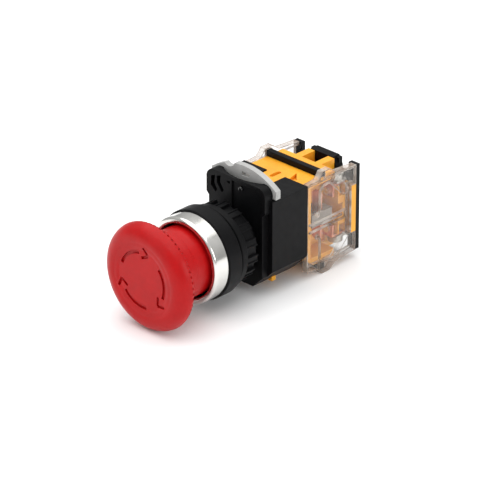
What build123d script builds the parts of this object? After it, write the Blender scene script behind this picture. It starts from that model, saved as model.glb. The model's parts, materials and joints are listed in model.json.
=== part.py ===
"""Emergency stop push-button: 40 mm twist-to-release mushroom, 22 mm panel neck, one contact block.

Millimetres. The origin lies on the button's axis, in the plane of the gasket's rear face, which is the
front face of the panel. +Y runs rearwards along the axis, away from the mushroom. +Z is up and +X is
to the right of somebody who faces the mushroom.
"""

import os
from math import cos, radians, sin, sqrt

from build123d import *

# Mushroom: radii about the button's axis, and places along +Y
cap_radius = 20.0
cap_front_y = -33.3
cap_widest_y = -28.8
cap_rear_y = -26.1
cap_disc_radius = 13.0
cap_dish = 0.25
cap_hollow_y = -28.2
cap_hollow_radius = 15.8
hub_radius = 9.2
hub_rear_y = -22.6
knurl_count = 60
knurl_rear_radius = 17.6
knurl_radius = 0.62
knurl_path_radius = 20.3
knurl_path_y = -28.3
knurl_lean = 0.62
arrow_radius = 10.4
arrow_width = 1.2
arrow_depth = 0.7
arrow_count = 3
skirt_radius = 13.15
skirt_wall = 1.5
skirt_step_y = -19.2
skirt_rear_y = -8.6

# Twist and press mechanism
cam_radius = 7.2
cam_tail_radius = 6.9
cam_rear_y = 1.5
cam_bore_radius = 6.1
cam_bore_rear_y = -13.0
plunger_radius = 4.2
plunger_front_y = -26.2
plunger_head_radius = 7.7
plunger_head_rear_y = 8.2
plunger_stem_radius = 5.0
plunger_stem_rear_y = 15.0
plunger_tip_radius = 2.2
plunger_rear_y = 19.9
press_travel = 4.5
latch_y = 5.0
latch_pin_radius = 1.0
latch_pin_inner_x = 3.0
latch_pin_length = 4.85
latch_pin_stroke = 0.9

# Operator body, bezel and gasket
bezel_radius = 16.15
bezel_front_y = -13.5
bezel_rear_y = -7.0
collar_radius = 16.75
sleeve_radius = 15.0
sleeve_front_y = -11.4
cavity_radius = 13.6
cavity_rear_y = -3.2
seal_radius = 9.0
seal_rear_y = -1.4
gasket_radius = 15.6
gasket_thickness = 0.6
neck_radius = 11.0
neck_rear_y = 12.8
thread_pitch = 1.25
thread_depth = 0.55
spigot_radius = 9.4
spigot_rear_y = 19.7
bore_radius = 8.0

# Panel nut
nut_flange_radius = 15.5
nut_tooth_radius = 14.7
nut_front_y = 0.7
nut_flange_rear_y = 3.6
nut_rear_y = 8.9
nut_notches = 15
nut_notch_width = 3.3
nut_notch_depth = 0.95

# Mounting base behind the panel
flange_front_y = 13.1
flange_top_z = 22.5
flange_corner = 3.4
ear_half_width = 14.1
ear_bottom_z = 12.0
turn_marks = [
    [(-11.7, 19.9), (-9.85, 20.6), (-10.2, 17.7), (-8.8, 15.4), (-9.6, 14.1), (-11.9, 16.2)],
    [(-9.0, 20.6), (-7.15, 21.3), (-7.4, 18.8), (-5.6, 16.0), (-6.6, 14.8), (-9.0, 18.0)],
    [(-4.8, 20.1), (-2.4, 20.6), (-2.8, 19.3)],
]
waist_half_width = 12.9
base_half_width = 15.3
base_top_z = 17.4
base_bottom_z = -16.7
base_chamfer = 6.75
base_front_y = 15.7
pocket_front_y = 17.0
pocket_rear_y = 19.7
base_rear_y = 33.6
pocket_wall = 1.9
cheek_inner_x = 4.4
cheek_wall = 1.6
cheek_front_y = 22.0

# Lock ring
ring_front_y = 17.2
ring_rear_y = 19.5
ring_inner_radius = 11.0
ring_outer_radius = 13.2
lever_radius = 26.0
lever_half_width = 15.5
lever_bottom_z = 17.8

# Contact block
tongue_half_width = 4.2
tongue_front_y = 20.0
tongue_top_z = 17.0
channel_half_width = 2.5
channel_half_height = 3.2
channel_rear_y = 55.0
block_front_y = 34.0
block_rear_y = 57.3
tab_rear_y = 59.1
tab_half_height = 9.2
block_half_width = 12.5
block_half_height = 16.9
web_half_width = 5.2
chamber_front_y = 38.4
chamber_rear_y = 52.6
chamber_half_height = 13.95
pocket_floor_z = 5.6
screw_hole_rear_y = 56.6
pocket_inner_x = 6.2
bar_front_y = 42.2
bar_rear_y = 44.6
bar_outer_z = 19.2
bar_half_width = 13.4
plate_front_y = 59.15
plate_rear_y = 60.95
plate_half_height = 16.7
hood_front_y = 57.4
hood_top_z = 17.1
nose_x = 7.7
nose_half_width = 1.3

# Clear covers
cover_outer_x = 15.1
cover_wall = 1.2
rib_height = 0.5

# Terminals and moving contacts
terminal_x = 9.2
terminal_y = 54.85
strip_thickness = 0.9
strip_top_z = 10.4
strip_width = 4.6
strip_rear_y = 57.4
bridge_front_y = 45.0
bridge_half_length = 9.4
bridge_width = 4.0
bridge_x = 9.0
tip_radius = 1.4
tip_height = 0.8
tip_z = 7.4
leg_end_z = 5.7
nc_lost_motion = 1.0
no_lost_motion = 1.3
arm_front_y = 39.6
arm_rear_y = 50.0
arm_half_width = 12.0
arm_half_height = 2.5
slider_half_width = 2.3
slider_half_height = 3.0

fit_gap = 0.05
chamfer_share = 2 - sqrt(2)


def across(y):
    """Plane square to the button's axis at y: local x is +X, local y is +Z, extrude runs to -Y."""
    return Plane(origin=(0, y, 0), x_dir=(1, 0, 0), z_dir=(0, -1, 0))


def beside(x):
    """Plane square to +X at x: local x is +Y, local y is +Z, extrude runs to +X."""
    return Plane(origin=(x, 0, 0), x_dir=(0, 1, 0), z_dir=(1, 0, 0))


def above(z):
    """Level plane at z: local x is +X, local y is +Y, extrude runs up."""
    return Plane.XY.offset(z)


def block(x_range, y_range, z_range):
    """Block between three pairs of limits, given in either order."""
    spans = [sorted(limits) for limits in (x_range, y_range, z_range)]
    middle = [(low + high) / 2 for low, high in spans]
    return Pos(*middle) * Box(*[high - low for low, high in spans], mode=Mode.PRIVATE)


def turned(points):
    """Solid of revolution about the button's axis from (radius, y) corners."""
    with BuildPart() as ring:
        with BuildSketch(Plane.XY):
            with BuildLine():
                Polyline(*points, close=True)
            make_face()
        revolve(axis=Axis.Y)
    return ring.part


def coil(radius, wire, start, direction, length, turns):
    """Compression spring: a round wire on a helix that fills the given length from start."""
    axis = Vector(*direction)
    begin = Vector(*start) + axis * (wire / 2)
    with BuildPart() as spring:
        with BuildLine() as path:
            Helix((length - wire) / turns, length - wire, radius, center=begin, direction=direction)
        with BuildSketch(Plane(origin=path.line @ 0, z_dir=path.line % 0)):
            Circle(wire / 2)
        sweep(path=path.line, is_frenet=True)
    return spring.part


def polar(radius, degrees):
    """Point at a radius and an angle from +X towards +Z, as local (x, z)."""
    return (radius * cos(radians(degrees)), radius * sin(radians(degrees)))


def save(shape, name):
    """Label a finished piece and write it."""
    shape.label = name
    export_step(shape, f"parts/{name}.step")


os.makedirs("parts", exist_ok=True)

# ---------------------------------------------------------------- mushroom cap
# Flat front disc, rounded shoulder, knurled rear edge, and a hollow underside with a hub.
with BuildPart() as mushroom_cap:
    with BuildSketch(Plane.XY):
        with BuildLine():
            Line((0, cap_front_y + cap_dish), (cap_disc_radius - 1.6, cap_front_y + cap_dish))
            ThreePointArc(
                (cap_disc_radius - 1.6, cap_front_y + cap_dish),
                (cap_disc_radius - 0.7, cap_front_y + 0.07),
                (cap_disc_radius + 0.6, cap_front_y),
            )
            ThreePointArc(
                (cap_disc_radius + 0.6, cap_front_y), (18.5, -31.9), (cap_radius, cap_widest_y)
            )
            ThreePointArc((cap_radius, cap_widest_y), (19.85, -28.1), (19.35, -27.5))
            Polyline(
                (19.35, -27.5),
                (knurl_rear_radius + 0.3, cap_rear_y - 0.3),
                (knurl_rear_radius, cap_rear_y),
                (cap_hollow_radius + 0.4, cap_rear_y),
                (cap_hollow_radius, cap_hollow_y),
                (skirt_radius + fit_gap, cap_hollow_y),
                (skirt_radius + fit_gap, cap_hollow_y - 0.6),
                (skirt_radius - skirt_wall - fit_gap, cap_hollow_y - 0.6),
                (skirt_radius - skirt_wall - fit_gap, cap_hollow_y),
                (hub_radius, cap_hollow_y),
                (hub_radius, hub_rear_y),
                (cam_radius + fit_gap, hub_rear_y),
                (cam_radius + fit_gap, cap_hollow_y - 1),
                (0, cap_hollow_y - 1),
                (0, cap_front_y + cap_dish),
            )
        make_face()
    revolve(axis=Axis.Y)
    # Knurl round the rear edge
    for index in range(knurl_count):
        turn = 360 / knurl_count * index
        knurl_plane = Plane(
            origin=(
                knurl_path_radius * cos(radians(turn)),
                knurl_path_y,
                knurl_path_radius * sin(radians(turn)),
            ),
            z_dir=(-cos(radians(turn)), knurl_lean, -sin(radians(turn))),
        )
        with BuildSketch(knurl_plane):
            Circle(knurl_radius)
        extrude(amount=5, mode=Mode.SUBTRACT)
    # Turn arrows sunk into the front disc: an arc and an open head, three times round
    with BuildSketch(across(cap_front_y + cap_dish + arrow_depth)):
        for turn in range(arrow_count):
            start = 40 - 360 / arrow_count * turn
            tip = polar(arrow_radius, start - 86)
            with BuildLine():
                CenterArc((0, 0), arrow_radius, start - 62, 62)
            trace(line_width=arrow_width)
            with BuildLine():
                Line(tip, polar(arrow_radius - 1.9, start - 68))
            trace(line_width=arrow_width * 0.85)
            with BuildLine():
                Line(tip, polar(arrow_radius + 2.3, start - 73))
            trace(line_width=arrow_width * 0.85)
    extrude(amount=3, mode=Mode.SUBTRACT)
save(mushroom_cap.part, "mushroom_cap")

# ---------------------------------------------------------------- skirt
# Red tube behind the cap, a little wider at the cap's end, that slides into the bezel.
skirt = turned(
    [
        (skirt_radius - skirt_wall, cap_hollow_y - 0.55),
        (skirt_radius, cap_hollow_y - 0.55),
        (skirt_radius, skirt_step_y),
        (skirt_radius - 0.3, skirt_step_y + 0.3),
        (skirt_radius - 0.3, skirt_rear_y - 0.4),
        (skirt_radius - 0.7, skirt_rear_y),
        (skirt_radius - skirt_wall, skirt_rear_y),
    ]
)
save(skirt, "cap_skirt")

# ---------------------------------------------------------------- release cam
# Stepped tube fixed in the cap's hub, turning with it round the plunger's front end.
cam = turned(
    [
        (cam_bore_radius, cap_hollow_y - 0.2),
        (cam_radius, cap_hollow_y - 0.2),
        (cam_radius, hub_rear_y + 2),
        (cam_tail_radius, hub_rear_y + 2.4),
        (cam_tail_radius, cam_rear_y),
        (plunger_radius + fit_gap, cam_rear_y),
        (plunger_radius + fit_gap, cam_bore_rear_y),
        (cam_bore_radius, cam_bore_rear_y),
    ]
)
save(cam, "release_cam")

# ---------------------------------------------------------------- plunger
# Push rod: thin front end in the cam, latch body with a cross bore, stem and tip.
with BuildPart() as plunger:
    with BuildSketch(Plane.XY):
        with BuildLine():
            Polyline(
                (0, plunger_front_y),
                (plunger_radius - 0.4, plunger_front_y),
                (plunger_radius, plunger_front_y + 0.4),
                (plunger_radius, plunger_front_y + 1.3),
                (plunger_radius - 0.7, plunger_front_y + 1.3),
                (plunger_radius - 0.7, plunger_front_y + 2),
                (plunger_radius, plunger_front_y + 2),
                (plunger_radius, cam_rear_y + fit_gap),
                (plunger_head_radius, cam_rear_y + fit_gap),
                (plunger_head_radius, plunger_head_rear_y),
                (plunger_stem_radius, plunger_head_rear_y + 1.2),
                (plunger_stem_radius, plunger_stem_rear_y),
                (plunger_tip_radius, plunger_stem_rear_y),
                (plunger_tip_radius, plunger_rear_y - 0.3),
                (plunger_tip_radius - 0.3, plunger_rear_y),
                (0, plunger_rear_y),
                close=True,
            )
        make_face()
    revolve(axis=Axis.Y)
    with BuildSketch(beside(0)):
        with Locations((latch_y, 0)):
            Circle(latch_pin_radius + fit_gap)
    extrude(amount=plunger_head_radius + 1, both=True, mode=Mode.SUBTRACT)
save(plunger.part, "plunger")

with BuildPart() as retaining_clip:
    with BuildSketch(across(plunger_front_y + 1.95)):
        Circle(cam_bore_radius - 0.3)
        Circle(plunger_radius - 0.65, mode=Mode.SUBTRACT)
        with Locations((0, -cam_bore_radius + 1)):
            Rectangle(4.6, 8, mode=Mode.SUBTRACT)
    extrude(amount=0.6)
save(retaining_clip.part, "retaining_clip")

twist_front_y = plunger_front_y + 2.4
twist_length = cam_bore_rear_y - 0.2 - twist_front_y
save(coil(5.15, 0.7, (0, twist_front_y, 0), (0, 1, 0), twist_length, 7), "twist_spring")

# Two steel pins slide out of the latch body as the button goes in; a small spring lies between them.
for side, name in ((1, "latch_pin_right"), (-1, "latch_pin_left")):
    pin_plane = Plane(
        origin=(latch_pin_inner_x * side, latch_y, 0), x_dir=(0, 1, 0), z_dir=(side, 0, 0)
    )
    with BuildPart() as latch_pin:
        with BuildSketch(pin_plane):
            Circle(latch_pin_radius)
        extrude(amount=latch_pin_length)
        chamfer(latch_pin.faces().sort_by(Axis.X)[-1 if side > 0 else 0].edges(), 0.35)
    save(latch_pin.part, name)

latch_spring_length = 2 * latch_pin_inner_x - 0.2
latch_spring_start = (-latch_spring_length / 2, latch_y, 0)
save(coil(0.62, 0.3, latch_spring_start, (1, 0, 0), latch_spring_length, 6), "latch_spring")

# ---------------------------------------------------------------- operator body
# Front sleeve for the bezel, wide collar, threaded neck and rear spigot. Inside: the skirt's cavity,
# a seat for the shaft seal, and the plunger's bore with a widening ramp for the latch pins.
thread_start_y = nut_rear_y + 0.2
thread = []
for turn in range(3):
    root_y = thread_start_y + (turn + 0.5) * thread_pitch
    thread.append((neck_radius - thread_depth, root_y))
    thread.append((neck_radius, root_y + thread_pitch / 2))
ramp_rear_radius = bore_radius + latch_pin_stroke + 0.1
body = turned(
    [
        (cavity_radius, sleeve_front_y),
        (sleeve_radius, sleeve_front_y),
        (sleeve_radius, bezel_rear_y),
        (collar_radius - 0.35, bezel_rear_y),
        (collar_radius, bezel_rear_y + 0.35),
        (collar_radius, -gasket_thickness - 0.35),
        (collar_radius - 0.35, -gasket_thickness),
        (neck_radius, -gasket_thickness),
        (neck_radius, thread_start_y),
        *thread[:-1],
        (neck_radius - thread_depth, neck_rear_y),
        (spigot_radius, neck_rear_y),
        (spigot_radius, spigot_rear_y - 0.4),
        (spigot_radius - 0.4, spigot_rear_y),
        (bore_radius, spigot_rear_y),
        (bore_radius, latch_y + press_travel + 1.5),
        (ramp_rear_radius, latch_y + press_travel + 1.5),
        (ramp_rear_radius, latch_y + press_travel),
        (bore_radius + 0.1, latch_y),
        (bore_radius, latch_y - 1.6),
        (bore_radius, seal_rear_y),
        (seal_radius, seal_rear_y),
        (seal_radius, cavity_rear_y),
        (cavity_radius, cavity_rear_y),
    ]
)
save(body, "operator_body")

seal = turned(
    [
        (cam_tail_radius + 0.35, cavity_rear_y + 0.6),
        (cam_tail_radius + 0.8, cavity_rear_y + 0.1),
        (seal_radius - 0.02, cavity_rear_y + 0.1),
        (seal_radius - 0.02, seal_rear_y - 0.02),
        (cam_tail_radius + 0.35, seal_rear_y - 0.02),
    ]
)
save(seal, "shaft_seal")

bush = turned(
    [
        (plunger_stem_radius + fit_gap, 14.2),
        (bore_radius - 0.02, 14.2),
        (bore_radius - 0.02, 17.4),
        (plunger_stem_radius + fit_gap, 17.4),
    ]
)
save(bush, "guide_bush")

return_length = cavity_rear_y - cap_hollow_y - 0.2
save(coil(10.3, 1.0, (0, cap_hollow_y + 0.1, 0), (0, 1, 0), return_length, 7), "return_spring")

# ---------------------------------------------------------------- bezel
# Chrome tube over the operator's sleeve, with a rolled front lip and a bevel round the skirt.
lip_radius = skirt_radius + 0.55
with BuildPart() as bezel_ring:
    with BuildSketch(Plane.XY):
        with BuildLine():
            Polyline(
                (bezel_radius - 1.2, bezel_front_y),
                (lip_radius + 0.85, bezel_front_y),
                (lip_radius + 0.25, bezel_front_y + 0.35),
                (lip_radius, bezel_front_y + 1.2),
                (lip_radius, sleeve_front_y - fit_gap),
                (sleeve_radius + fit_gap, sleeve_front_y - fit_gap),
                (sleeve_radius + fit_gap, bezel_rear_y - fit_gap),
                (bezel_radius, bezel_rear_y - fit_gap),
                (bezel_radius, bezel_front_y + 1.2),
            )
            ThreePointArc(
                (bezel_radius, bezel_front_y + 1.2),
                (bezel_radius - 0.35, bezel_front_y + 0.35),
                (bezel_radius - 1.2, bezel_front_y),
            )
        make_face()
    revolve(axis=Axis.Y)
save(bezel_ring.part, "bezel_ring")

gasket = turned(
    [
        (neck_radius + fit_gap, -gasket_thickness),
        (gasket_radius, -gasket_thickness),
        (gasket_radius, 0),
        (neck_radius + fit_gap, 0),
    ]
)
save(gasket, "panel_gasket")

# ---------------------------------------------------------------- panel nut
# Plain flange and a castellated rear ring, each notch between two raised ribs.
notch_start = 6
rib_offset = 7.6
with BuildPart() as panel_nut:
    with BuildSketch(across(nut_flange_rear_y)):
        Circle(nut_flange_radius)
        Circle(neck_radius + fit_gap, mode=Mode.SUBTRACT)
    extrude(amount=nut_flange_rear_y - nut_front_y)
    chamfer(panel_nut.edges().filter_by(GeomType.CIRCLE).group_by(SortBy.RADIUS)[-1], 0.35)
    with BuildSketch(across(nut_rear_y)):
        Circle(nut_tooth_radius)
        with PolarLocations(nut_tooth_radius, nut_notches, start_angle=notch_start):
            Rectangle(2 * nut_notch_depth, nut_notch_width, mode=Mode.SUBTRACT)
        for rib_side in (-1, 1):
            rib_start = notch_start + rib_side * rib_offset
            with PolarLocations(nut_tooth_radius - 0.1, nut_notches, start_angle=rib_start):
                Rectangle(0.9, 0.45)
        Circle(neck_radius + fit_gap, mode=Mode.SUBTRACT)
    extrude(amount=nut_rear_y - nut_flange_rear_y)
save(panel_nut.part, "panel_nut")


# ---------------------------------------------------------------- mounting base
def body_corners(inset, top_z):
    """Corners of the base's cross-section, moved inwards by inset at the sides and underneath."""
    half = base_half_width - inset
    low = base_bottom_z + inset
    cut = base_chamfer - inset * chamfer_share
    return [
        (-half, top_z),
        (half, top_z),
        (half, low + cut),
        (half - cut, low),
        (cut - half, low),
        (-half, low + cut),
    ]


with BuildPart() as mounting_base:
    # Flange and the ears behind it
    with BuildSketch(across(pocket_front_y)):
        with BuildLine():
            waist_cut = base_chamfer - 2.3
            Polyline(
                (-ear_half_width, flange_top_z),
                (ear_half_width, flange_top_z),
                (ear_half_width, ear_bottom_z + 1.2),
                (waist_half_width, ear_bottom_z),
                (waist_half_width, base_bottom_z + waist_cut),
                (waist_half_width - waist_cut, base_bottom_z),
                (waist_cut - waist_half_width, base_bottom_z),
                (-waist_half_width, base_bottom_z + waist_cut),
                (-waist_half_width, ear_bottom_z),
                (-ear_half_width, ear_bottom_z + 1.2),
                close=True,
            )
        flange_face = make_face()
        fillet(flange_face.vertices().group_by(Axis.Y)[-1], flange_corner)
    extrude(amount=pocket_front_y - flange_front_y)
    # Body behind the flange
    with BuildSketch(across(base_rear_y)):
        with BuildLine():
            Polyline(*body_corners(0, base_top_z), close=True)
        make_face()
    extrude(amount=base_rear_y - base_front_y)
    # Pocket for the lock ring, open at the top and through the upper left wall
    with BuildSketch(across(pocket_rear_y)):
        with BuildLine():
            Polyline(*body_corners(pocket_wall, base_top_z + 8), close=True)
        make_face()
    extrude(amount=pocket_rear_y - pocket_front_y, mode=Mode.SUBTRACT)
    add(
        block((-base_half_width - 1, -10), (pocket_front_y, pocket_rear_y), (12.4, base_top_z + 8)),
        mode=Mode.SUBTRACT,
    )
    # Sleeve round the operator's spigot
    with BuildSketch(across(pocket_rear_y)):
        Circle(ring_inner_radius - 0.1)
    extrude(amount=pocket_rear_y - pocket_front_y)
    with BuildSketch(across(pocket_rear_y)):
        Circle(spigot_radius + fit_gap)
    extrude(amount=pocket_rear_y - flange_front_y + 1, mode=Mode.SUBTRACT)
    # Slot between the cheeks for the contact block's tongue
    add(
        block(
            (-cheek_inner_x, cheek_inner_x),
            (pocket_rear_y, base_rear_y + 1),
            (base_bottom_z - 1, base_top_z + 1),
        ),
        mode=Mode.SUBTRACT,
    )
    # Hollow cheeks, open at the rear, each with a cross rib at mid height
    inner_x = cheek_inner_x + cheek_wall
    corners = body_corners(cheek_wall, base_top_z - cheek_wall)
    with BuildSketch(across(base_rear_y)):
        with BuildLine():
            Polyline(*corners, close=True)
        make_face()
        Rectangle(2 * inner_x, 60, mode=Mode.SUBTRACT)
        Rectangle(60, 1.6, mode=Mode.SUBTRACT)
    extrude(amount=base_rear_y - cheek_front_y, mode=Mode.SUBTRACT)
    # Windows under the cheeks for the block's snap noses
    for side in (-1, 1):
        window_x = (side * (nose_x - nose_half_width - 0.3), side * (nose_x + nose_half_width + 0.3))
        window = block(window_x, (cheek_front_y - 0.1, 24.6), (base_bottom_z - 1, base_bottom_z + 3.3))
        add(window, mode=Mode.SUBTRACT)
    # Tool space behind the middle of the flange's top edge
    with BuildSketch(above(base_top_z)):
        with BuildLine():
            Spline((-9.4, 16.6), (-4.3, 14.6), (0.8, 14.0), (5.4, 14.8), (9.8, 16.6))
            Polyline((9.8, 16.6), (9.8, pocket_front_y + 0.1), (-9.4, pocket_front_y + 0.1), (-9.4, 16.6))
        make_face()
    extrude(amount=8, mode=Mode.SUBTRACT)
    # Recessed right part of the flange's face
    with BuildSketch(across(flange_front_y + 0.55)):
        with BuildLine():
            Polyline(
                (-1.8, 21.3),
                (ear_half_width - 3.6, 21.3),
                (ear_half_width - 1.3, 19.0),
                (ear_half_width - 1.3, 13.6),
                (waist_half_width - 1.1, 12.4),
                (waist_half_width - 1.1, 0),
                (-1.8, 0),
                close=True,
            )
        make_face()
    extrude(amount=2, mode=Mode.SUBTRACT)
    # Turn marks: two chevrons and a part of a third, cut into the left ear
    with BuildSketch(across(flange_front_y + 1.4)):
        for mark in turn_marks:
            with BuildLine():
                Polyline(*mark, close=True)
            make_face()
    extrude(amount=3, mode=Mode.SUBTRACT)
save(mounting_base.part, "mounting_base")

with BuildPart() as stop_pin:
    with BuildSketch(across(flange_front_y + 0.55)):
        with Locations((2.3, 19.2)):
            Circle(0.95)
    extrude(amount=0.9)
    fillet(stop_pin.faces().sort_by(Axis.Y)[0].edges(), 0.5)
save(stop_pin.part, "stop_pin")

# ---------------------------------------------------------------- lock ring
# Flat ring on the base's sleeve with a wide lever that stands above the body.
with BuildPart() as lock_ring:
    with BuildSketch(across(ring_rear_y)):
        Circle(lever_radius)
        with Locations((0, lever_bottom_z)):
            Rectangle(2 * lever_half_width, 20, align=(Align.CENTER, Align.MIN), mode=Mode.INTERSECT)
        with Locations((-7.2, lever_radius + 0.6)):
            Circle(3.0, mode=Mode.SUBTRACT)
        with Locations((1.0, 22.9)):
            Rectangle(3.5, 1.5, mode=Mode.SUBTRACT)
        Circle(ring_outer_radius)
        with Locations((0, 8)):
            Rectangle(14, 10, align=(Align.CENTER, Align.MIN))
        Circle(ring_inner_radius, mode=Mode.SUBTRACT)
    extrude(amount=ring_rear_y - ring_front_y)
save(lock_ring.part, "lock_ring")

# ---------------------------------------------------------------- contact housing
with BuildPart() as contact_housing:
    # Main body seen from the side, cut off at its lower front corner
    with BuildSketch(beside(-block_half_width)):
        with BuildLine():
            Polyline(
                (block_front_y, block_half_height),
                (block_rear_y, block_half_height),
                (block_rear_y, -block_half_height),
                (block_front_y + 5.8, -block_half_height),
                (block_front_y, -block_half_height + 4.9),
                close=True,
            )
        make_face()
    extrude(amount=2 * block_half_width)
    add(
        block(
            (-tongue_half_width, tongue_half_width),
            (tongue_front_y, block_front_y + 1),
            (-tongue_top_z + 0.6, tongue_top_z),
        )
    )
    add(
        block(
            (-cover_outer_x, cover_outer_x),
            (block_rear_y - 0.5, tab_rear_y),
            (-tab_half_height, tab_half_height),
        )
    )
    # Slider channel through the tongue and the middle web
    add(
        block(
            (-channel_half_width, channel_half_width),
            (tongue_front_y - 1, channel_rear_y),
            (-channel_half_height, channel_half_height),
        ),
        mode=Mode.SUBTRACT,
    )
    # Side slots for the slider's arms
    add(
        block(
            (-block_half_width - 1, block_half_width + 1),
            (arm_front_y - 0.6, channel_rear_y),
            (-arm_half_height - 0.2, arm_half_height + 0.2),
        ),
        mode=Mode.SUBTRACT,
    )
    for side in (-1, 1):
        # Contact chamber, open to the side
        chamber = block(
            (side * web_half_width, side * (block_half_width + 1)),
            (chamber_front_y, chamber_rear_y),
            (-chamber_half_height, chamber_half_height),
        )
        add(chamber, mode=Mode.SUBTRACT)
        for end in (-1, 1):
            # Wire pocket round each terminal, open to the side, outwards and to the rear
            with BuildSketch(beside(side * pocket_inner_x)):
                with BuildLine():
                    strip_under_z = strip_top_z - strip_thickness - fit_gap
                    Polyline(
                        (50.6, end * (block_half_height + 1)),
                        (50.6, end * strip_under_z),
                        (chamber_rear_y + 0.6, end * strip_under_z),
                        (chamber_rear_y + 0.6, end * pocket_floor_z),
                        (screw_hole_rear_y, end * pocket_floor_z),
                        (screw_hole_rear_y, end * strip_under_z),
                        (block_rear_y + 1, end * strip_under_z),
                        (block_rear_y + 1, end * (block_half_height + 1)),
                        close=True,
                    )
                make_face()
            extrude(amount=side * 8, mode=Mode.SUBTRACT)
    # Relief under each hood, with a post left standing on either side of it
    for end in (-1, 1):
        relief = block(
            (-3.2, 3.2),
            (50.5, block_rear_y + 1),
            (end * (tab_half_height + 0.4), end * (block_half_height + 1)),
        )
        add(relief, mode=Mode.SUBTRACT)
    # Snap arms that reach into the cheeks, with noses through their undersides
    for side in (-1, 1):
        arm_x = (side * (nose_x - nose_half_width), side * (nose_x + nose_half_width))
        add(block(arm_x, (22.2, block_front_y + 1), (-10.6, -8.8)))
        add(block(arm_x, (22.2, 24.2), (-18.0, -8.8)))
    # Recesses on top: a slot along the tongue and a V beside it
    with BuildSketch(above(tongue_top_z - 1.6)):
        with Locations((-0.2, 33.6)):
            SlotOverall(5.4, 1.7, rotation=90)
        with BuildLine():
            Polyline((4.6, 39.3), (8.6, 35.2), (6.0, 33.9), close=True)
        make_face()
    extrude(amount=4, mode=Mode.SUBTRACT)
save(contact_housing.part, "contact_housing")

# ---------------------------------------------------------------- cross bars
# Black bars over and under the block, whose ends plug into the covers.
for end, name in ((1, "cross_bar_top"), (-1, "cross_bar_bottom")):
    with BuildPart() as cross_bar:
        add(
            block(
                (-bar_half_width, bar_half_width),
                (bar_front_y, bar_rear_y),
                (end * (block_half_height + fit_gap), end * bar_outer_z),
            )
        )
        fillet(cross_bar.edges().filter_by(Axis.X).group_by(Axis.Z)[-1 if end > 0 else 0], 0.3)
    save(cross_bar.part, name)

# ---------------------------------------------------------------- rear plate
# Four corner ears, wire entries between them, and a hood over each end of the block.
with BuildPart() as rear_plate:
    with BuildSketch(across(plate_rear_y)):
        Rectangle(2 * cover_outer_x, 2 * plate_half_height)
        with GridLocations(18, 2 * plate_half_height, 2, 2):
            Rectangle(4.6, 8.6, mode=Mode.SUBTRACT)
    extrude(amount=plate_rear_y - plate_front_y)
    for end in (-1, 1):
        with BuildSketch(across(plate_rear_y)):
            with BuildLine():
                Polyline(
                    (-7.0, end * (tab_half_height + 0.2)),
                    (-7.0, end * 13.8),
                    (-5.3, end * hood_top_z),
                    (5.3, end * hood_top_z),
                    (7.0, end * 13.8),
                    (7.0, end * (tab_half_height + 0.2)),
                    close=True,
                )
            make_face()
        extrude(amount=plate_rear_y - hood_front_y)
        under_hood = block((-5.8, 5.8), (hood_front_y - 1, plate_front_y), (end * 9.0, end * 14.0))
        add(under_hood, mode=Mode.SUBTRACT)
save(rear_plate.part, "rear_plate")

# ---------------------------------------------------------------- clear side covers
# Side view as (y, z): level at the front, swelling round the cross bars, notched for the rear tab.
notch_z = tab_half_height + 0.1
upper_edge = [
    (block_front_y, 17.0),
    (39.2, 17.3),
    (40.8, 18.8),
    (41.6, 20.0),
    (45.6, 20.0),
    (46.9, 18.9),
    (48.8, 17.6),
    (plate_front_y - fit_gap, 16.8),
    (plate_front_y - fit_gap, notch_z),
    (block_rear_y - 0.6, notch_z),
]
lower_edge = [(y, -z) for y, z in reversed(upper_edge)]
cover_inner_x = cover_outer_x - cover_wall
rim_inner_x = block_half_width + fit_gap
funnel_radius = 1.9
for side, name in ((1, "side_cover_right"), (-1, "side_cover_left")):
    with BuildPart() as side_cover:
        with BuildSketch(beside(side * rim_inner_x)):
            with BuildLine():
                Polyline(*upper_edge, *lower_edge, close=True)
            make_face()
        extrude(amount=side * (cover_outer_x - rim_inner_x))
        # Diagonal half-round guards between each wire pocket and the contact chamber
        for end in (-1, 1):
            guard_plane = Plane(
                origin=(side * (cover_outer_x - 0.7), 46.2, end * 16.2),
                x_dir=(1, 0, 0),
                z_dir=(0, 7.8, -end * 8.0),
            )
            with BuildSketch(guard_plane):
                Circle(funnel_radius)
            extrude(amount=10.6)
        # Hollow inside, leaving the outer wall and a rim
        hollow = block((side * 10, side * cover_inner_x), (35.1, 56.2), (-15.6, 15.6))
        add(hollow, mode=Mode.SUBTRACT)
        add(block((side * 10, side * rim_inner_x), (30, 62), (-25, 25)), mode=Mode.SUBTRACT)
        for end in (-1, 1):
            # Socket for the cross bar's end
            socket = block(
                (side * 12, side * (bar_half_width + 0.1)),
                (bar_front_y - 0.08, bar_rear_y + 0.08),
                (end * 14, end * (bar_outer_z + 0.08)),
            )
            add(socket, mode=Mode.SUBTRACT)
            # Wire entry through the rear rim
            entry = block((side * 12, side * cover_inner_x), (50, 61), (end * 10, end * 15.4))
            add(entry, mode=Mode.SUBTRACT)
        # Raised outlines of the contact chambers and of the slider's track, and four small bosses
        with BuildSketch(beside(side * (cover_outer_x - 0.01))):
            for end in (-1, 1):
                with BuildLine():
                    Polyline((40.0, end * 5.2), (40.0, end * 13.2), (41.6, end * 14.8), (45.6, end * 15.2))
                trace(line_width=0.7)
                with BuildLine():
                    Line((block_front_y + 0.6, end * 1.5), (53.0, end * 1.5))
                trace(line_width=0.6)
                with Locations((38.8, end * 4.3)):
                    Circle(1.0)
                    Circle(0.45, mode=Mode.SUBTRACT)
            with BuildLine():
                Line((53.0, -1.8), (53.0, 1.8))
            trace(line_width=0.6)
            with BuildLine():
                Line((40.6, 0), (51.6, 0))
            trace(line_width=0.5)
            with BuildLine():
                Line((56.0, -7.6), (56.0, 7.6))
            trace(line_width=0.5)
        extrude(amount=side * rib_height)
    save(side_cover.part, name)

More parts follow.
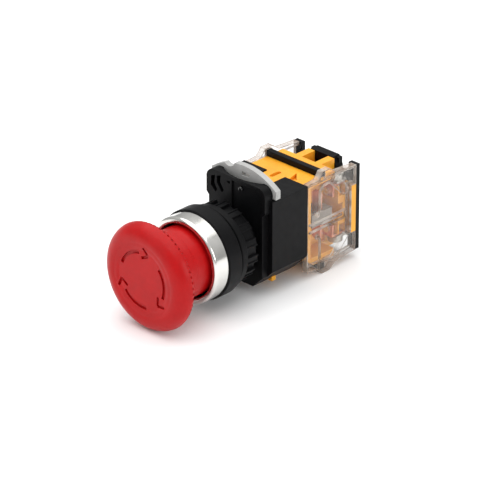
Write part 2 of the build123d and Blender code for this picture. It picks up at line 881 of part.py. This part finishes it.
# ---------------------------------------------------------------- contact slider
# Stem in the tongue's channel and a cross arm with a window for each contact bridge.
slider_front_y = plunger_rear_y + 0.02
nc_window = (bridge_front_y - nc_lost_motion, 48.8)
no_window = (arm_front_y + 1.3, bridge_front_y + strip_thickness + 0.02)
spring_seat_y = 43.0
with BuildPart() as contact_slider:
    add(
        block(
            (-slider_half_width, slider_half_width),
            (slider_front_y, arm_rear_y),
            (-slider_half_height, slider_half_height),
        )
    )
    chamfer(contact_slider.faces().sort_by(Axis.Y)[0].edges(), 0.3)
    add(
        block(
            (-arm_half_width, arm_half_width), (arm_front_y, arm_rear_y), (-arm_half_height, arm_half_height)
        )
    )
    for side, window in ((-1, nc_window), (1, no_window)):
        window_x = (side * (bridge_x - bridge_width / 2 - 0.15), side * (bridge_x + bridge_width / 2 + 0.15))
        add(block(window_x, window, (-4, 4)), mode=Mode.SUBTRACT)
    # Blind bore for the return spring
    with BuildSketch(across(arm_rear_y)):
        Circle(2.0)
    extrude(amount=arm_rear_y - spring_seat_y, mode=Mode.SUBTRACT)
save(contact_slider.part, "contact_slider")

slider_spring_length = channel_rear_y - spring_seat_y - 0.2
save(coil(1.55, 0.5, (0, spring_seat_y + 0.1, 0), (0, 1, 0), slider_spring_length, 8), "slider_spring")


# ---------------------------------------------------------------- bridges, tips and terminals
def bridge(side):
    """Contact bridge: a flat strip along Z, dished inwards at its middle for the spring."""
    with BuildPart() as strip:
        add(
            block(
                (side * bridge_x - bridge_width / 2, side * bridge_x + bridge_width / 2),
                (bridge_front_y, bridge_front_y + strip_thickness),
                (-bridge_half_length, bridge_half_length),
            )
        )
        chamfer(strip.edges().filter_by(Axis.Y), 0.8)
    return strip.part


def tips(x, face_y, direction):
    """Two round contact tips on a face, above and below the slider."""
    with BuildPart() as pair:
        with BuildSketch(across(face_y)):
            with Locations((x, tip_z), (x, -tip_z)):
                Circle(tip_radius)
        extrude(amount=-direction * tip_height)
    return pair.part


def terminal(side, end, leg_front_y):
    """Fixed contact: a leg across the chamber and a flat strip that runs back to the terminal screw."""
    x = side * terminal_x
    with BuildPart() as strip:
        with BuildSketch(beside(x - strip_width / 2)):
            with BuildLine():
                Polyline(
                    (leg_front_y, end * leg_end_z),
                    (leg_front_y, end * strip_top_z),
                    (strip_rear_y, end * strip_top_z),
                    (strip_rear_y, end * (strip_top_z - strip_thickness)),
                    (leg_front_y + strip_thickness, end * (strip_top_z - strip_thickness)),
                    (leg_front_y + strip_thickness, end * leg_end_z),
                    close=True,
                )
            make_face()
        extrude(amount=strip_width)
        with BuildSketch(above(end * strip_top_z - 3)):
            with Locations((x, terminal_y)):
                Circle(screw_radius + fit_gap)
        extrude(amount=6, mode=Mode.SUBTRACT)
    return strip.part


screw_radius = 1.55
clamp_thickness = 0.8
clamp_width = 5.8
clamp_length = 5.0
head_radius = 2.75
head_height = 2.0
shank_end_z = 6.8
contact_gap = 0.02
nc_travel = press_travel - nc_lost_motion
no_travel = press_travel - no_lost_motion

save(bridge(-1), "nc_bridge")
save(bridge(1), "no_bridge")
save(tips(-bridge_x, bridge_front_y, -1), "nc_bridge_tips")
save(tips(bridge_x, bridge_front_y + strip_thickness, 1), "no_bridge_tips")

# Springs that press each bridge: behind the normally closed one, in front of the normally open one
nc_spring_y = bridge_front_y + strip_thickness + 0.05
nc_spring_length = nc_window[1] - nc_spring_y - 0.05
save(coil(1.2, 0.35, (-bridge_x, nc_spring_y, 0), (0, 1, 0), nc_spring_length, 4), "nc_spring")
no_spring_y = no_window[0] + 0.05
no_spring_length = bridge_front_y - no_spring_y - 0.05
save(coil(1.2, 0.35, (bridge_x, no_spring_y, 0), (0, 1, 0), no_spring_length, 5), "no_spring")

# The closed contacts touch in front of the bridge; the open ones wait behind it
nc_face_y = bridge_front_y - tip_height - contact_gap
no_face_y = bridge_front_y + strip_thickness + tip_height + no_travel + contact_gap
save(terminal(-1, 1, nc_face_y - tip_height - strip_thickness), "nc_terminal_top")
save(terminal(-1, -1, nc_face_y - tip_height - strip_thickness), "nc_terminal_bottom")
save(terminal(1, 1, no_face_y + tip_height), "no_terminal_top")
save(terminal(1, -1, no_face_y + tip_height), "no_terminal_bottom")
save(tips(-bridge_x, nc_face_y, -1), "nc_fixed_tips")
save(tips(bridge_x, no_face_y, 1), "no_fixed_tips")

# Square clamp plates and slotted screws, heads outwards
clamp_z = strip_top_z + fit_gap
with BuildPart() as clamp_plates:
    for end in (-1, 1):
        with BuildSketch(above(min(end * clamp_z, end * (clamp_z + clamp_thickness)))):
            with Locations((-terminal_x, terminal_y), (terminal_x, terminal_y)):
                Rectangle(clamp_width, clamp_length)
                Circle(screw_radius + fit_gap, mode=Mode.SUBTRACT)
        extrude(amount=clamp_thickness)
save(clamp_plates.part, "clamp_plates")

head_z = clamp_z + clamp_thickness + 0.02
with BuildPart() as terminal_screws:
    for end in (-1, 1):
        for side in (-1, 1):
            with BuildSketch(above(end * shank_end_z)):
                with Locations((side * terminal_x, terminal_y)):
                    Circle(screw_radius)
            extrude(amount=end * (head_z + 0.5 - shank_end_z))
            with BuildSketch(above(end * head_z)):
                with Locations((side * terminal_x, terminal_y)):
                    Circle(head_radius)
            extrude(amount=end * head_height)
            slot_z = (end * (head_z + head_height - 0.9), end * (head_z + head_height + 1))
            for long_x, long_y in ((2.3, 0.45), (0.45, 2.3)):
                slot = block(
                    (side * terminal_x - long_x, side * terminal_x + long_x),
                    (terminal_y - long_y, terminal_y + long_y),
                    slot_z,
                )
                add(slot, mode=Mode.SUBTRACT)
save(terminal_screws.part, "terminal_screws")
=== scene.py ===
"""Looks for the emergency stop button: materials, springs, floor, light and camera."""

import json
import math

import bpy
from mathutils import Matrix, Vector


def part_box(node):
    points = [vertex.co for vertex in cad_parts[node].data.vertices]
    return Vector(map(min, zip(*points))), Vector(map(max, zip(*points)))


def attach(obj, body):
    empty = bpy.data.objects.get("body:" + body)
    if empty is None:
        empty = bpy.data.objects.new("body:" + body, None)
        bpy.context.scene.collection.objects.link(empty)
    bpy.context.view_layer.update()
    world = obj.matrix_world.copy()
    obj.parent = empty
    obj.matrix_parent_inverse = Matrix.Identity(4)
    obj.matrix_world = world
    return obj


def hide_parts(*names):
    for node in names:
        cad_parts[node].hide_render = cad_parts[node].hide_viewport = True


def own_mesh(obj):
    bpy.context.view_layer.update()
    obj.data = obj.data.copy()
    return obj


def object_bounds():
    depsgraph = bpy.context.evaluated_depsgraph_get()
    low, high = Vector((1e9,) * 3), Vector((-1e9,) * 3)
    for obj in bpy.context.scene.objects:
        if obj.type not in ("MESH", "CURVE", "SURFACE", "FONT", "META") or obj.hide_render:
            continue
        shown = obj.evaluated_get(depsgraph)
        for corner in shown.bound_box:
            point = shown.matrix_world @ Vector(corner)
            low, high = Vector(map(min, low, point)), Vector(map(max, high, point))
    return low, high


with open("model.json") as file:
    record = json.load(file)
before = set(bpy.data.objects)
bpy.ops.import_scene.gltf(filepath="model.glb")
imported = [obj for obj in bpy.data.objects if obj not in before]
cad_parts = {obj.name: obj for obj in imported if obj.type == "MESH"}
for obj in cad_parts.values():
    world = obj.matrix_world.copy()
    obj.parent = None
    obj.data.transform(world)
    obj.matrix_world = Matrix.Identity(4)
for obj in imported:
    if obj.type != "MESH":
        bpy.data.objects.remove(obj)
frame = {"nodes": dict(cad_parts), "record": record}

cad_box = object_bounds()
nodes = frame["nodes"]
scene = bpy.context.scene
scene.view_settings.view_transform = "Standard"

MM = 0.001


# ---------------------------------------------------------------- material helpers
class Look:
    """A node material around one Principled shader, in object coordinates (metres in the row frame)."""

    def __init__(self, name, **sockets):
        self.material = bpy.data.materials.new(name)
        self.material.use_nodes = True
        self.tree = self.material.node_tree
        self.tree.nodes.clear()
        self.out = self.node("ShaderNodeOutputMaterial")
        self.shader = self.node("ShaderNodeBsdfPrincipled")
        self.link(self.shader.outputs["BSDF"], self.out.inputs["Surface"])
        for key, value in sockets.items():
            self.shader.inputs[key.replace("_", " ")].default_value = value
        self.where = self.node("ShaderNodeTexCoord").outputs["Object"]
        self.normal = None

    def node(self, kind, **props):
        made = self.tree.nodes.new(kind)
        for key, value in props.items():
            setattr(made, key, value)
        return made

    def link(self, a, b):
        self.tree.links.new(a, b)

    def stretched(self, scale):
        """Coordinates scaled by (x, y, z), for grain that runs one way."""
        mapping = self.node("ShaderNodeMapping")
        mapping.inputs["Scale"].default_value = scale
        self.link(self.where, mapping.inputs["Vector"])
        return mapping.outputs["Vector"]

    def noise(self, size_mm, detail=3.0, vector=None, rough=0.5):
        """Noise whose main features are about size_mm across."""
        made = self.node("ShaderNodeTexNoise")
        made.inputs["Scale"].default_value = 1 / (size_mm * MM)
        made.inputs["Detail"].default_value = detail
        made.inputs["Roughness"].default_value = rough
        self.link(vector or self.where, made.inputs["Vector"])
        return made.outputs["Fac"]

    def ramp(self, value, stops):
        """Colour ramp through (position, colour) stops."""
        made = self.node("ShaderNodeValToRGB")
        ends = made.color_ramp.elements
        while len(ends) < len(stops):
            ends.new(0.5)
        for element, (place, color) in zip(ends, stops):
            element.position = place
            element.color = (*color, 1)
        self.link(value, made.inputs["Fac"])
        return made.outputs["Color"]

    def spread(self, value, low, high, start=0.3, end=0.7):
        """Value remapped from start..end to low..high."""
        made = self.node("ShaderNodeMapRange")
        made.inputs["From Min"].default_value = start
        made.inputs["From Max"].default_value = end
        made.inputs["To Min"].default_value = low
        made.inputs["To Max"].default_value = high
        self.link(value, made.inputs["Value"])
        return made.outputs["Result"]

    def mix(self, share, a, b, blend="MIX"):
        """Mix of two colours, each a socket or a fixed colour."""
        made = self.node("ShaderNodeMix", data_type="RGBA", blend_type=blend)
        for socket, value in zip((made.inputs["Factor"], made.inputs[6], made.inputs[7]), (share, a, b)):
            if hasattr(value, "links"):
                self.link(value, socket)
            elif isinstance(value, (int, float)):
                socket.default_value = value
            else:
                socket.default_value = (*value, 1)
        return made.outputs[2]

    def soften(self, radius_mm):
        """Rounds the edges in the shading."""
        made = self.node("ShaderNodeBevel", samples=4)
        made.inputs["Radius"].default_value = radius_mm * MM
        self.normal = made.outputs["Normal"]
        self.link(self.normal, self.shader.inputs["Normal"])

    def bump(self, height, depth_mm, strength=1.0):
        """Relief of depth_mm from a height socket; each call adds to the one before."""
        made = self.node("ShaderNodeBump")
        made.inputs["Strength"].default_value = strength
        made.inputs["Distance"].default_value = depth_mm * MM
        self.link(height, made.inputs["Height"])
        if self.normal is not None:
            self.link(self.normal, made.inputs["Normal"])
        self.normal = made.outputs["Normal"]
        self.link(self.normal, self.shader.inputs["Normal"])

    def color(self, socket):
        self.link(socket, self.shader.inputs["Base Color"])

    def roughness(self, socket):
        self.link(socket, self.shader.inputs["Roughness"])


SPECK_SHARE = 0.12
SCRATCH_SHARE = 0.35


def shade(color, factor):
    return tuple(min(1.0, c * factor) for c in color)


def moulded(name, color, low, high, grain_mm=0.35, grain_depth=0.006, edge=0.15, **sockets):
    """Injection-moulded plastic: faint flow marks, fine grain, uneven gloss and softened edges."""
    look = Look(name, **sockets)
    flow = look.noise(9.0, 2.0)
    speck = look.noise(1.3, 4.0)
    base = look.ramp(flow, [(0.3, shade(color, 0.90)), (0.7, shade(color, 1.08))])
    specks = look.ramp(speck, [(0.35, shade(color, 0.7)), (0.65, shade(color, 1.25))])
    look.color(look.mix(SPECK_SHARE, base, specks))
    look.roughness(look.spread(look.noise(3.0, 5.0), low, high))
    if edge:
        look.soften(edge)
    look.bump(look.noise(grain_mm, 2.0), grain_depth)
    look.bump(look.noise(6.0, 1.0), 0.02)
    return look


# ---------------------------------------------------------------- materials
RED = (0.42, 0.003, 0.004)
BLACK = (0.0035, 0.0035, 0.0040)
GREY = (0.40, 0.40, 0.39)
ORANGE = (0.86, 0.37, 0.018)

red = moulded(
    "red_plastic", RED, 0.32, 0.44, edge=0.25, Specular_IOR_Level=0.18, Coat_Weight=0.04, Coat_Roughness=0.15
)
black = moulded(
    "black_plastic", BLACK, 0.34, 0.50, grain_mm=0.28, grain_depth=0.008, edge=0.22, Specular_IOR_Level=0.10
)
dark_gloss = moulded("black_gloss", BLACK, 0.10, 0.18, edge=0.2, Coat_Weight=0.5)
grey = moulded("grey_plastic", GREY, 0.40, 0.52, edge=0.2)
white = moulded("white_plastic", (0.78, 0.77, 0.73), 0.38, 0.5, edge=0.15, Subsurface_Weight=0.05)
orange = moulded(
    "orange_plastic", ORANGE, 0.34, 0.48, edge=0.2, Subsurface_Weight=0.08, Subsurface_Scale=0.004
)

rubber = Look("black_rubber", Specular_IOR_Level=0.35)
dust = rubber.noise(2.0, 4.0)
rubber.color(rubber.ramp(dust, [(0.3, (0.010, 0.010, 0.010)), (0.7, (0.028, 0.028, 0.027))]))
rubber.roughness(rubber.spread(rubber.noise(1.0), 0.62, 0.78))
rubber.bump(rubber.noise(0.2, 2.0), 0.02)

chrome = Look("chrome_plate", Metallic=1.0)
chrome.color(chrome.ramp(chrome.noise(7.0, 3.0), [(0.3, (0.66, 0.655, 0.62)), (0.7, (0.78, 0.77, 0.74))]))
smears = chrome.noise(2.4, 6.0, chrome.stretched((1, 0.35, 1)))
chrome.roughness(chrome.spread(smears, 0.09, 0.20, 0.35, 0.75))
chrome.soften(0.2)
chrome.bump(chrome.noise(4.0, 2.0), 0.004)


def metal(name, dark, light, low, high, along, scratch_mm=0.25):
    """Drawn, rolled or plated metal with fine lines along one axis."""
    look = Look(name, Metallic=1.0)
    lines = look.noise(scratch_mm, 3.0, look.stretched(along))
    patina = look.noise(2.0, 4.0)
    tones = [(0.3, dark), (0.7, light)]
    look.color(look.mix(SCRATCH_SHARE, look.ramp(patina, tones), look.ramp(lines, tones)))
    look.roughness(look.spread(lines, low, high))
    look.soften(0.08)
    look.bump(lines, 0.004)
    return look


steel_wire = metal("spring_steel", (0.38, 0.38, 0.39), (0.62, 0.62, 0.63), 0.22, 0.4, (1, 0.2, 1))
nickel = metal("plated_steel", (0.40, 0.38, 0.35), (0.58, 0.56, 0.52), 0.3, 0.45, (0.3, 1, 1))
copper = metal("contact_copper", (0.50, 0.17, 0.09), (0.80, 0.36, 0.22), 0.26, 0.42, (1, 1, 0.2))
silver = metal("contact_silver", (0.66, 0.65, 0.62), (0.86, 0.85, 0.82), 0.18, 0.32, (1, 1, 1))

smoke = moulded("smoke_plastic", (0.26, 0.23, 0.20), 0.38, 0.5, edge=0.15)

# Clear plastic: nearly invisible through its flat faces, denser and brown-grey on the rim of its wall, with
# painted glints and painted dark outlines in pale and brown along its edges and ribs, and a reflection that
# grows towards grazing angles
FACE_DENSITY = (0.05, 0.30)
RIM_DENSITY = 0.45
# How opaque the painted glint and dark outline lines along the edges are, and how far from an edge they
# reach
PAINTED_EDGE_LINE_DENSITY = 0.75
PAINTED_EDGE_LINE_REACH_MM = 0.55
clear = Look("clear_plastic", IOR=1.45, Specular_IOR_Level=0.2)
facing = clear.node("ShaderNodeLayerWeight")
facing.inputs["Blend"].default_value = 0.35
haze = clear.noise(4.0, 3.0)
clear.soften(0.3)
flat_normal = clear.node("ShaderNodeNewGeometry").outputs["True Normal"]
near_edge = clear.node("ShaderNodeBevel", samples=8)
near_edge.inputs["Radius"].default_value = PAINTED_EDGE_LINE_REACH_MM * MM
alike = clear.node("ShaderNodeVectorMath", operation="DOT_PRODUCT")
clear.link(near_edge.outputs["Normal"], alike.inputs[0])
clear.link(flat_normal, alike.inputs[1])
# Mask of the edges and ribs that carry the painted glints and painted dark outlines; it also makes the
# plastic more opaque there
painted_edge_line = clear.spread(alike.outputs["Value"], 1.0, 0.0, 0.90, 0.999)
own_normal = clear.node("ShaderNodeSeparateXYZ")
clear.link(clear.node("ShaderNodeTexCoord").outputs["Normal"], own_normal.inputs["Vector"])
sideways = clear.node("ShaderNodeMath", operation="ABSOLUTE")
clear.link(own_normal.outputs["X"], sideways.inputs[0])
rim = clear.spread(sideways.outputs[0], 1.0, 0.0, 0.2, 0.95)
face_tint = clear.ramp(haze, [(0.3, (0.50, 0.44, 0.38)), (0.7, (0.66, 0.61, 0.56))])
rim_tint = clear.ramp(haze, [(0.35, (0.30, 0.20, 0.14)), (0.65, (0.62, 0.55, 0.48))])
# Painted glints (pale) and painted dark outlines (brown) along the edges and ribs, varied by noise
painted_glint_and_outline_tint = clear.ramp(clear.noise(6.0, 1.0), [(0.40, (0.16, 0.09, 0.05)), (0.60, (0.66, 0.62, 0.57))])
clear.color(clear.mix(painted_edge_line, clear.mix(rim, face_tint, rim_tint), painted_glint_and_outline_tint))
clear.roughness(clear.spread(clear.noise(2.0, 4.0), 0.05, 0.16))
clear_parts = [
    clear.spread(facing.outputs["Facing"], *FACE_DENSITY, 0.25, 0.95),
    clear.spread(rim, 0.0, RIM_DENSITY, 0.0, 1.0),
    clear.spread(painted_edge_line, 0.0, PAINTED_EDGE_LINE_DENSITY, 0.0, 1.0),
]
density = clear_parts[0]
for extra in clear_parts[1:]:
    total = clear.node("ShaderNodeMath", operation="ADD")
    clear.link(density, total.inputs[0])
    clear.link(extra, total.inputs[1])
    density = total.outputs[0]
clear.link(density, clear.shader.inputs["Alpha"])
clear.bump(clear.noise(2.6, 2.0), 0.05)
gloss = clear.node("ShaderNodeBsdfGlossy")
gloss.inputs["Roughness"].default_value = 0.06
clear.link(clear.normal, gloss.inputs["Normal"])
reflected = [(0.0, 0.02), (0.45, 0.05), (0.8, 0.28), (1.0, 0.7)]
sheen = clear.ramp(facing.outputs["Facing"], [(place, (share,) * 3) for place, share in reflected])
coated = clear.node("ShaderNodeMixShader")
clear.link(sheen, coated.inputs["Fac"])
clear.link(clear.shader.outputs["BSDF"], coated.inputs[1])
clear.link(gloss.outputs["BSDF"], coated.inputs[2])
clear.link(coated.outputs["Shader"], clear.out.inputs["Surface"])

SLOT_LOOKS = {
    "red_plastic": red,
    "chrome_plate": chrome,
    "black_plastic": black,
    "black_gloss": dark_gloss,
    "black_rubber": rubber,
    "grey_plastic": grey,
    "white_plastic": white,
    "smoke_plastic": smoke,
    "orange_plastic": orange,
    "clear_plastic": clear,
    "spring_steel": steel_wire,
    "plated_steel": nickel,
    "contact_copper": copper,
    "contact_silver": silver,
}
slot_of = {row["node"]: row["material_slot"] for row in frame["record"]["subparts"]}


def dress(obj, look):
    """Gives an object one material in every slot it has."""
    if not obj.data.materials:
        obj.data.materials.append(look.material)
    for index in range(len(obj.data.materials)):
        obj.data.materials[index] = look.material


for name, obj in nodes.items():
    dress(obj, SLOT_LOOKS[slot_of[name]])


# ---------------------------------------------------------------- springs
def spring(node, body, turns, wire_mm):
    """Closed-end helix along Y that fills its CAD node's box."""
    low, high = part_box(node)
    middle = (low + high) / 2
    wire = wire_mm * MM / 2
    coil_radius = (high.x - low.x) / 2 - wire
    length = high.y - low.y - 2 * wire
    steps = 28 * turns
    dead = 0.8 / turns
    curve = bpy.data.curves.new(node + "_wire", "CURVE")
    curve.dimensions = "3D"
    curve.bevel_depth = wire
    curve.bevel_resolution = 4
    curve.use_fill_caps = True
    line = curve.splines.new("POLY")
    line.points.add(steps)
    for i, point in enumerate(line.points):
        t = i / steps
        rise = min(max((t - dead) / (1 - 2 * dead), 0), 1)
        angle = 2 * math.pi * turns * t
        x = middle.x + coil_radius * math.cos(angle)
        z = middle.z + coil_radius * math.sin(angle)
        point.co = (x, low.y + wire + length * rise, z, 1)
    path = bpy.data.objects.new(node + "_wire", curve)
    scene.collection.objects.link(path)
    bpy.context.view_layer.update()
    mesh = bpy.data.meshes.new_from_object(path.evaluated_get(bpy.context.evaluated_depsgraph_get()))
    bpy.data.objects.remove(path)
    piece = bpy.data.objects.new(node + "_coil", mesh)
    scene.collection.objects.link(piece)
    mesh.materials.clear()
    mesh.materials.append(steel_wire.material)
    for polygon in mesh.polygons:
        polygon.use_smooth = True
    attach(piece, body)
    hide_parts(node)
    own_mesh(piece)


PRESS_MM = 4.5
NO_LAG_MM = 1.3
for node, body, joint, turns, wire_mm, anchor_front, shortens_mm in (
    ("return_spring", "base", "button_press", 7, 1.0, False, PRESS_MM),
    ("slider_spring", "base", "button_press", 8, 0.5, False, PRESS_MM),
    ("no_spring", "slider", "no_bridge_lag", 5, 0.35, True, NO_LAG_MM),
):
    spring(node, body, turns, wire_mm)


# ---------------------------------------------------------------- floor, light and camera
FLOOR_GAP_MM = 0.05
floor_z = cad_box[0][2] - FLOOR_GAP_MM * MM
floor_mesh = bpy.data.meshes.new("floor")
reach = 3.0
floor_mesh.from_pydata(
    [(-reach, -reach, floor_z), (reach, -reach, floor_z), (reach, reach, floor_z), (-reach, reach, floor_z)],
    [],
    [(0, 1, 2, 3)],
)
floor = bpy.data.objects.new("floor", floor_mesh)
scene.collection.objects.link(floor)
paper = Look("floor_paper", Roughness=0.85, Specular_IOR_Level=0.2)
paper.color(paper.ramp(paper.noise(60.0, 2.0), [(0.3, (0.91, 0.91, 0.91)), (0.7, (0.94, 0.94, 0.94))]))
floor_mesh.materials.append(paper.material)

world = bpy.data.worlds.new("studio")
scene.world = world
world.use_nodes = True
background = world.node_tree.nodes["Background"]
sky = world.node_tree.nodes.new("ShaderNodeTexCoord")
split = world.node_tree.nodes.new("ShaderNodeSeparateXYZ")
fade = world.node_tree.nodes.new("ShaderNodeValToRGB")
world.node_tree.links.new(sky.outputs["Generated"], split.inputs["Vector"])
world.node_tree.links.new(split.outputs["Z"], fade.inputs["Fac"])
world.node_tree.links.new(fade.outputs["Color"], background.inputs["Color"])
# Greyer at the horizon than overhead, so that the chrome has something to reflect
for stop, (height, brightness) in zip(fade.color_ramp.elements, ((0.10, 0.45), (0.75, 0.75))):
    stop.position = height
    stop.color = (brightness, brightness, brightness, 1)
background.inputs["Strength"].default_value = 1.0


def softbox(name, place, aim, size, power):
    """Square white area light at place that looks at aim: metres and watts."""
    light = bpy.data.lights.new(name, "AREA")
    light.size = size
    light.energy = power
    obj = bpy.data.objects.new(name, light)
    scene.collection.objects.link(obj)
    obj.location = place
    obj.rotation_euler = (Vector(aim) - Vector(place)).to_track_quat("-Z", "Y").to_euler()


centre = (0, 0.015, 0)
softbox("overhead", (-0.10, 0.0, 1.00), centre, 1.70, 14.5)
softbox("front", (-0.25, -0.90, 0.40), centre, 0.60, 1.0)
softbox("right", (0.80, 0.10, 0.30), centre, 0.40, 1.6)

# Camera: azimuth 43.74 and elevation 26.97 degrees, 1.4 m away, a long lens
azimuth = math.radians(43.74)
elevation = math.radians(26.97)
back = Vector(
    (
        math.sin(azimuth) * math.cos(elevation),
        -math.cos(azimuth) * math.cos(elevation),
        math.sin(elevation),
    )
)
right = Vector((math.cos(azimuth), math.sin(azimuth), 0))
up = back.cross(right)
distance = 1.4
shift_right = 0.01064
shift_up = 0.00299
camera_data = bpy.data.cameras.new("camera")
camera_data.sensor_width = 36
camera_data.lens = 301.6
camera_data.clip_start = 0.05
camera_data.clip_end = 20
camera = bpy.data.objects.new("camera", camera_data)
scene.collection.objects.link(camera)
camera.matrix_world = Matrix.Translation(back * distance + right * shift_right + up * shift_up) @ Matrix(
    (right, up, back)
).transposed().to_4x4()
scene.camera = camera
